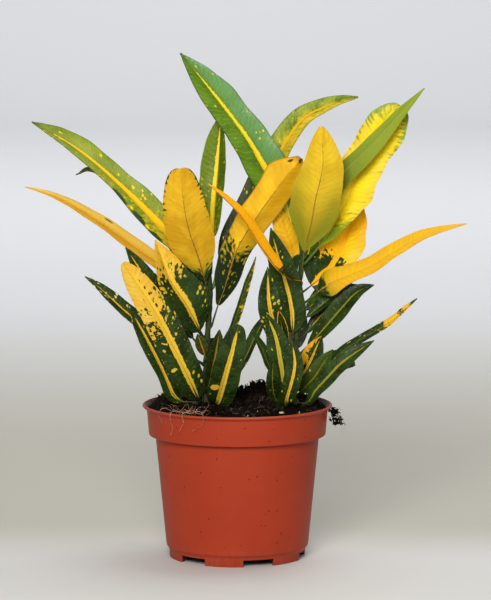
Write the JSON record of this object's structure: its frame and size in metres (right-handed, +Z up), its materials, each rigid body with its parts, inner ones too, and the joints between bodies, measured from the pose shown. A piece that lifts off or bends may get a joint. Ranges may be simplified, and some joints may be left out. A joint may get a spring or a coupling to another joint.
{
  "type": "potted croton",
  "caption": "Variegated croton house plant: slender yellow and green leaves on short stems in peat, in a round terracotta-coloured nursery pot on small feet.",
  "frame": {"origin": "centre of the whole plant's outline on the surface that the pot's feet stand on; the pot's axis is 4.8 mm to the left of it", "axes": "+Z up, +X to the right and +Y to the back, seen from the plant's front"},
  "size_m": [0.2782, 0.1221, 0.3193],
  "materials": {
    "pot_plastic": "satin moulded polypropylene, terracotta red-orange",
    "peat": "moist dark peat, crumbly",
    "stem": "grey-green young bark",
    "leaf_green": "glossy leathery leaf, dark green with a yellow midrib and yellow mottling",
    "leaf_gold": "satin leathery leaf, golden yellow with green at its base and margin",
    "root": "pale fibrous root",
    "perlite": "matte off-white granule"
  },
  "bodies": {
    "root": {"pot": "pot_plastic", "soil": "peat", "left_stem": "stem", "right_stem": "stem", "left_leaf_01": "leaf_green", "left_leaf_02": "leaf_gold", "left_leaf_03": "leaf_gold", "left_leaf_04": "leaf_green", "left_leaf_05": "leaf_green", "left_leaf_06": "leaf_green", "left_leaf_07": "leaf_gold", "left_leaf_08": "leaf_green", "left_leaf_09": "leaf_green", "left_leaf_10": "leaf_green", "left_leaf_11": "leaf_green", "left_leaf_12": "leaf_green", "left_leaf_13": "leaf_green", "left_leaf_14": "leaf_green", "left_leaf_15": "leaf_green", "left_leaf_16": "leaf_green", "left_leaf_17": "leaf_green", "left_leaf_18": "leaf_green", "left_leaf_19": "leaf_green", "left_leaf_20": "leaf_green", "left_leaf_21": "leaf_green", "left_leaf_22": "leaf_green", "left_leaf_23": "leaf_green", "right_leaf_01": "leaf_green", "right_leaf_02": "leaf_gold", "right_leaf_03": "leaf_gold", "right_leaf_04": "leaf_gold", "right_leaf_05": "leaf_green", "right_leaf_06": "leaf_gold", "right_leaf_07": "leaf_gold", "right_leaf_08": "leaf_green", "right_leaf_09": "leaf_green", "right_leaf_10": "leaf_green", "right_leaf_11": "leaf_green", "right_leaf_12": "leaf_green", "right_leaf_13": "leaf_green", "right_leaf_14": "leaf_green", "right_leaf_15": "leaf_gold", "right_leaf_16": "leaf_green", "right_leaf_17": "leaf_green", "right_leaf_18": "leaf_green", "right_leaf_19": "leaf_green", "right_leaf_20": "leaf_green", "right_leaf_21": "leaf_green", "right_leaf_22": "leaf_green", "right_leaf_23": "leaf_green", "right_leaf_24": "leaf_green", "right_leaf_25": "leaf_green", "right_leaf_26": "leaf_green", "right_leaf_27": "leaf_green", "root_01": "root", "root_02": "root", "root_03": "root", "root_04": "root", "perlite": "perlite", "peat_crumb": "peat"}
  },
  "joints": []
}
